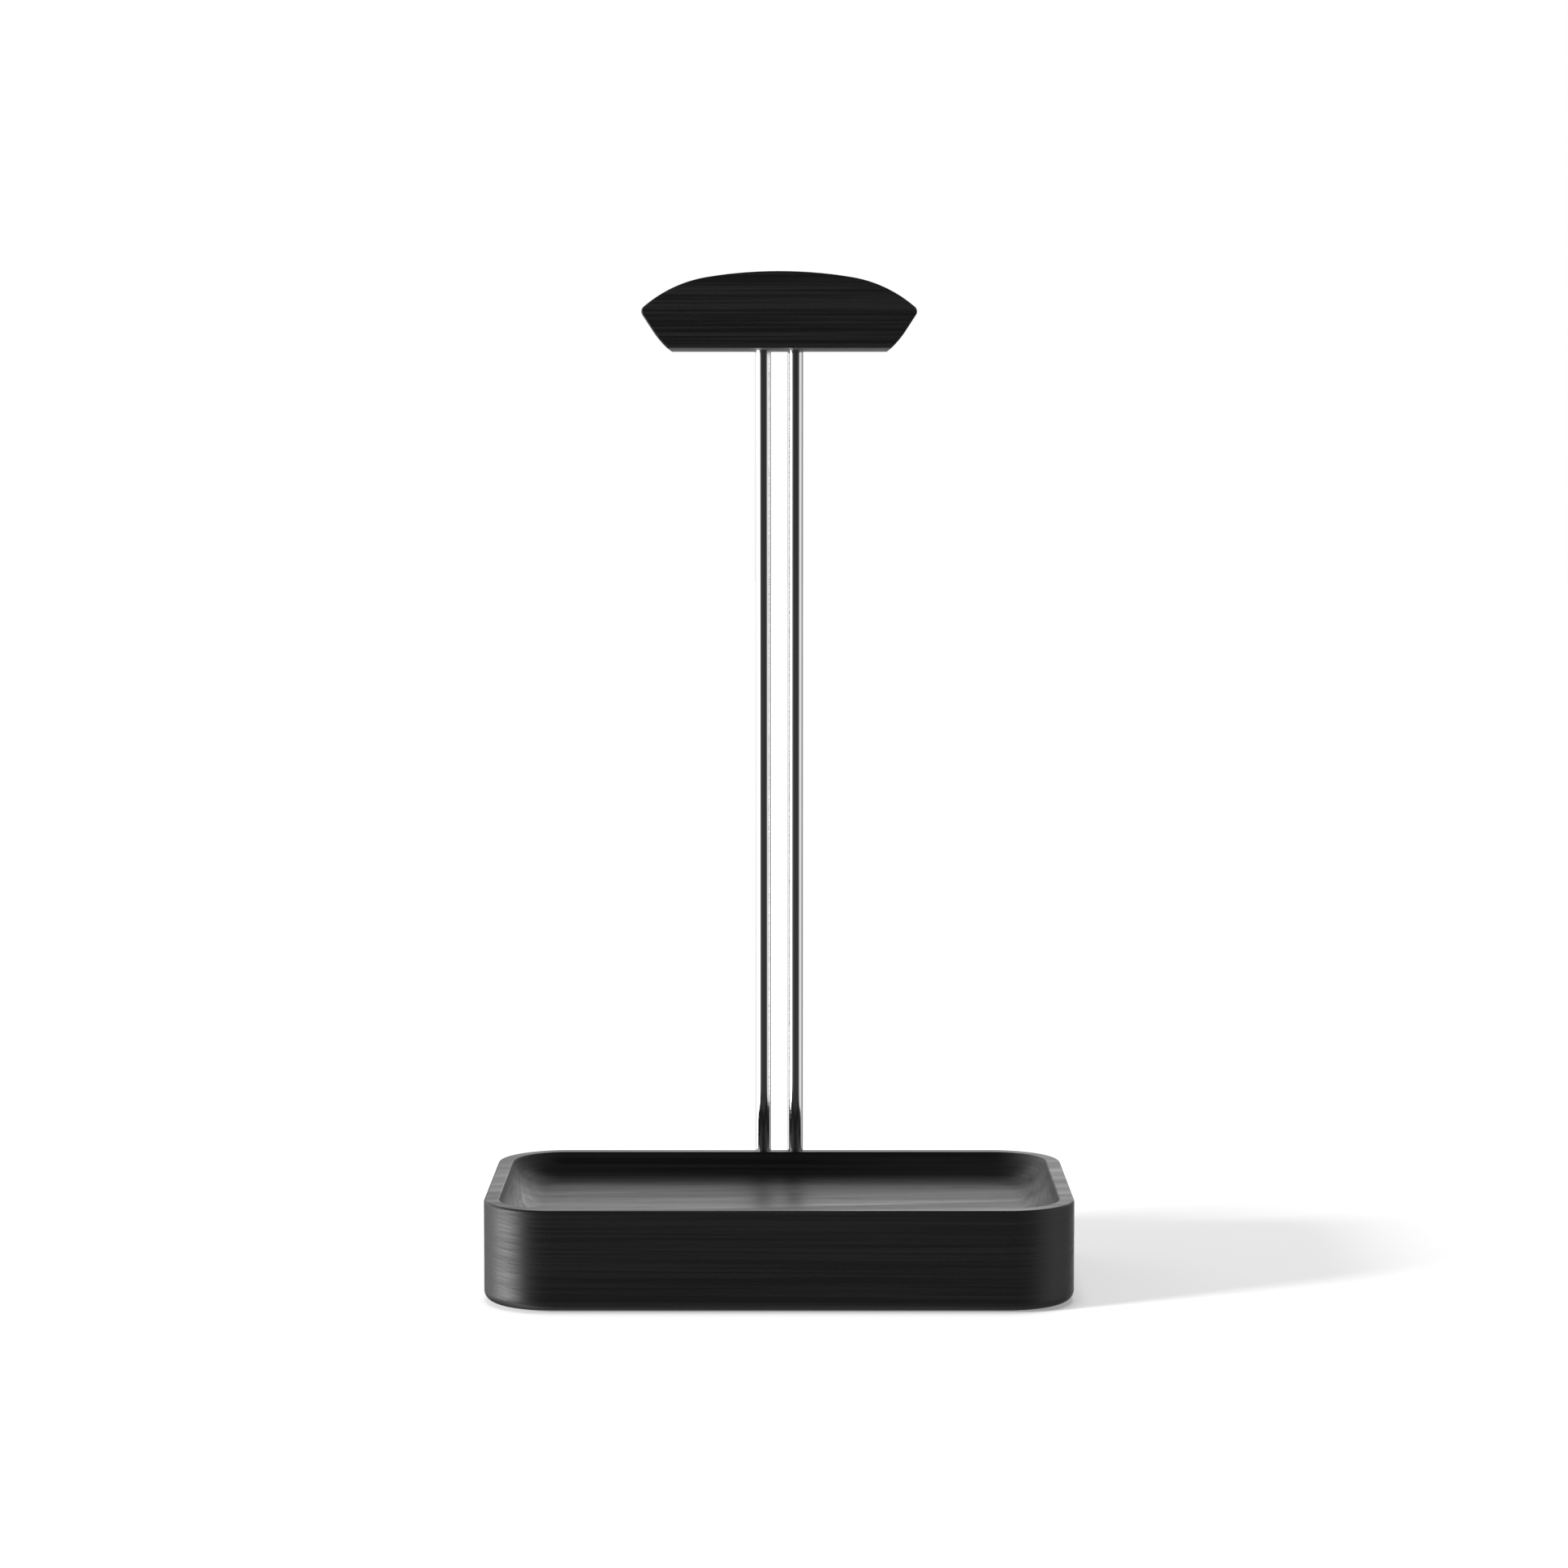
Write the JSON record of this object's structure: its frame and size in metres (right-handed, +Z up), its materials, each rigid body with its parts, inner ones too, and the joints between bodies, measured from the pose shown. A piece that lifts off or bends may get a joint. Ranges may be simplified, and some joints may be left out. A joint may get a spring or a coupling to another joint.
{
  "type": "headphone stand",
  "caption": "Free-standing headphone stand: a shallow wooden tray base, a pair of slim polished rods at its back edge, and a crowned wooden cradle for the headband.",
  "frame": {"origin": "middle of the foot pad's underside, where the stand rests, centred under the wooden base", "axes": "+Z up along the rods, -Y to the front, +X to the right as seen from the front"},
  "size_m": [0.168, 0.1225, 0.2933],
  "materials": {
    "stained_wood": "black stain under satin lacquer, with the grain showing",
    "polished_steel": "bright polished",
    "ballast_steel": "bare rolled sheet",
    "clamp_metal": "fine black powder coat",
    "screw_steel": "dark zinc plated",
    "insert_brass": "machined",
    "pad_rubber": "matt, finely textured"
  },
  "bodies": {
    "root": {"base_tray": "stained_wood", "foot_pad": "pad_rubber", "ballast_plate": "ballast_steel", "ballast_screws": "screw_steel", "left_rod": "polished_steel", "right_rod": "polished_steel", "clamp_plate": "clamp_metal", "clamp_screws": "screw_steel", "clamp_inserts": "insert_brass", "cradle": "stained_wood", "cradle_inserts": "insert_brass"}
  },
  "joints": []
}
